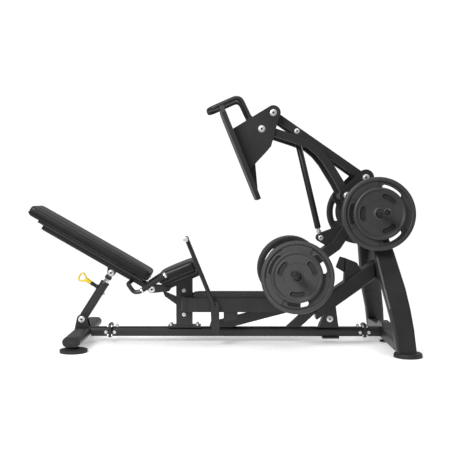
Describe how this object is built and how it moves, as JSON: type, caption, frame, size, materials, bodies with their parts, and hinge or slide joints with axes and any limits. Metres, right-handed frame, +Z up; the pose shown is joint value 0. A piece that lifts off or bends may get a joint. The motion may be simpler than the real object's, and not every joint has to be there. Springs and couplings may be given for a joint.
{
  "type": "leg press machine",
  "caption": "Seated leg press with a linkage-guided footplate, curved arms, a loaded weight arm, storage horns, weight plates and an adjustable backrest on a single-rail base.",
  "frame": {"origin": "centre of the bounding box on the floor plane", "axes": "+X from the backrest end towards the tower end; +Y to the seated user's left; +Z up"},
  "size_m": [2.4432, 1.3252, 1.5962],
  "materials": {
    "powder_coat": "satin powder coat",
    "vinyl": "fine grained upholstery vinyl",
    "black_rubber": "matte",
    "cast_plate": "satin enamel",
    "bright_steel": "polished",
    "yellow_plastic": "gloss",
    "board": "black painted plywood"
  },
  "bodies": {
    "frame": {"front_cross_tube": "powder_coat", "front_end_cap_left": "black_rubber", "front_end_cap_right": "black_rubber", "front_foot_left": "black_rubber", "front_foot_right": "black_rubber", "base_rail": "powder_coat", "rear_cross_member": "powder_coat", "rear_leg_left": "powder_coat", "rear_leg_right": "powder_coat", "rear_foot_left": "black_rubber", "rear_foot_right": "black_rubber", "tower_plate_left": "powder_coat", "tower_plate_right": "powder_coat", "tower_cross_plate": "powder_coat", "main_beam": "powder_coat", "beam_bracket": "powder_coat", "beam_brace": "powder_coat", "bump_stop_bracket": "powder_coat", "bump_stop_rubber": "black_rubber", "seat_post": "powder_coat", "seat_board": "board", "seat_pad": "vinyl", "platform_band": "powder_coat", "platform_tread": "black_rubber", "platform_support": "powder_coat", "lever_shaft": "powder_coat", "storage_horn_left": "powder_coat", "storage_horn_right": "powder_coat"},
    "upper_link": {"upper_links": "powder_coat"},
    "carriage": {"carriage_plate_left": "powder_coat", "carriage_plate_right": "powder_coat", "footplate": "powder_coat", "hoop_handle": "powder_coat"},
    "curved_arm": {"curved_arms": "powder_coat"},
    "push_rod": {"push_rod": "powder_coat"},
    "weight_arm": {"weight_arm": "powder_coat", "load_horn_left": "powder_coat", "load_horn_right": "powder_coat"},
    "lower_plates_left": {"lower_plate_big_left": "cast_plate", "lower_plate_small_left": "cast_plate"},
    "lower_plates_right": {"lower_plate_big_right": "cast_plate", "lower_plate_small_right": "cast_plate"},
    "upper_plates_left": {"upper_plate_big_left": "cast_plate", "upper_plate_small_left": "cast_plate"},
    "upper_plates_right": {"upper_plate_big_right": "cast_plate", "upper_plate_small_right": "cast_plate"},
    "backrest": {"back_frame": "powder_coat", "back_board": "board", "back_pad": "vinyl", "grip_left": "black_rubber", "grip_right": "black_rubber"},
    "strut_lower": {"strut_sleeve": "powder_coat", "pop_pin_barrel": "powder_coat"},
    "pop_pin": {"pop_pin_handle": "yellow_plastic"},
    "strut_upper": {"strut_rod": "bright_steel"},
    "safety_lever": {"safety_lever": "powder_coat", "lever_grip": "black_rubber"}
  },
  "joints": [
    {"name": "press_swing", "type": "hinge", "parent": "frame", "child": "upper_link", "pos_m": [0.934, 0, 1.074], "axis": [0, 1, 0], "range_deg": [0, 25]},
    {"name": "carriage_tilt", "type": "hinge", "parent": "upper_link", "child": "carriage", "pos_m": [0.348, 0, 1.483], "axis": [0, 1, 0], "range_deg": [-39, 0]},
    {"name": "curved_arm_swing", "type": "hinge", "parent": "frame", "child": "curved_arm", "pos_m": [0.815, 0, 0.961], "axis": [0, 1, 0], "range_deg": [0, 30]},
    {"name": "push_rod_swing", "type": "hinge", "parent": "upper_link", "child": "push_rod", "pos_m": [0.503, 0, 1.372], "axis": [0, 1, 0], "range_deg": [-6.6, 0]},
    {"name": "weight_arm_swing", "type": "hinge", "parent": "frame", "child": "weight_arm", "pos_m": [0.941, 0, 0.905], "axis": [0, 1, 0], "range_deg": [0, 28.5]},
    {"name": "lower_plates_slide_left", "type": "slide", "parent": "weight_arm", "child": "lower_plates_left", "axis": [-0.146, 0.976, 0.1616], "range_m": [0, 0.18]},
    {"name": "lower_plates_slide_right", "type": "slide", "parent": "weight_arm", "child": "lower_plates_right", "axis": [-0.146, -0.976, 0.1616], "range_m": [0, 0.18]},
    {"name": "upper_plates_slide_left", "type": "slide", "parent": "frame", "child": "upper_plates_left", "axis": [0, 0.9986, 0.0523], "range_m": [0, 0.18]},
    {"name": "upper_plates_slide_right", "type": "slide", "parent": "frame", "child": "upper_plates_right", "axis": [0, -0.9986, 0.0523], "range_m": [0, 0.18]},
    {"name": "backrest_tilt", "type": "hinge", "parent": "frame", "child": "backrest", "pos_m": [-0.4345, 0, 0.3486], "axis": [0, 1, 0], "range_deg": [0, 10]},
    {"name": "strut_tilt", "type": "hinge", "parent": "frame", "child": "strut_lower", "pos_m": [-0.896, 0, 0.152], "axis": [0, 1, 0], "range_deg": [-0.61, 0]},
    {"name": "strut_slide", "type": "slide", "parent": "strut_lower", "child": "strut_upper", "axis": [0.5353, 0, 0.8447], "range_m": [0, 0.0502]},
    {"name": "pop_pin_pull", "type": "slide", "parent": "strut_lower", "child": "pop_pin", "axis": [-0.8447, 0, 0.5353], "range_m": [0, 0.012], "stiffness_N_per_m": 400},
    {"name": "lever_swing", "type": "hinge", "parent": "frame", "child": "safety_lever", "pos_m": [-0.02, -0.2, 0.115], "axis": [0, 1, 0], "range_deg": [0, 20]}
  ],
  "couplings": [
    {"joint": "carriage_tilt", "follows": "press_swing", "ratio": -1.39},
    {"joint": "curved_arm_swing", "follows": "press_swing", "ratio": 1.0675},
    {"joint": "push_rod_swing", "follows": "press_swing", "ratio": -0.235},
    {"joint": "weight_arm_swing", "follows": "press_swing", "ratio": 1.0175},
    {"joint": "strut_tilt", "follows": "backrest_tilt", "ratio": -0.06},
    {"joint": "strut_slide", "follows": "backrest_tilt", "m_per_rad": 0.287}
  ]
}
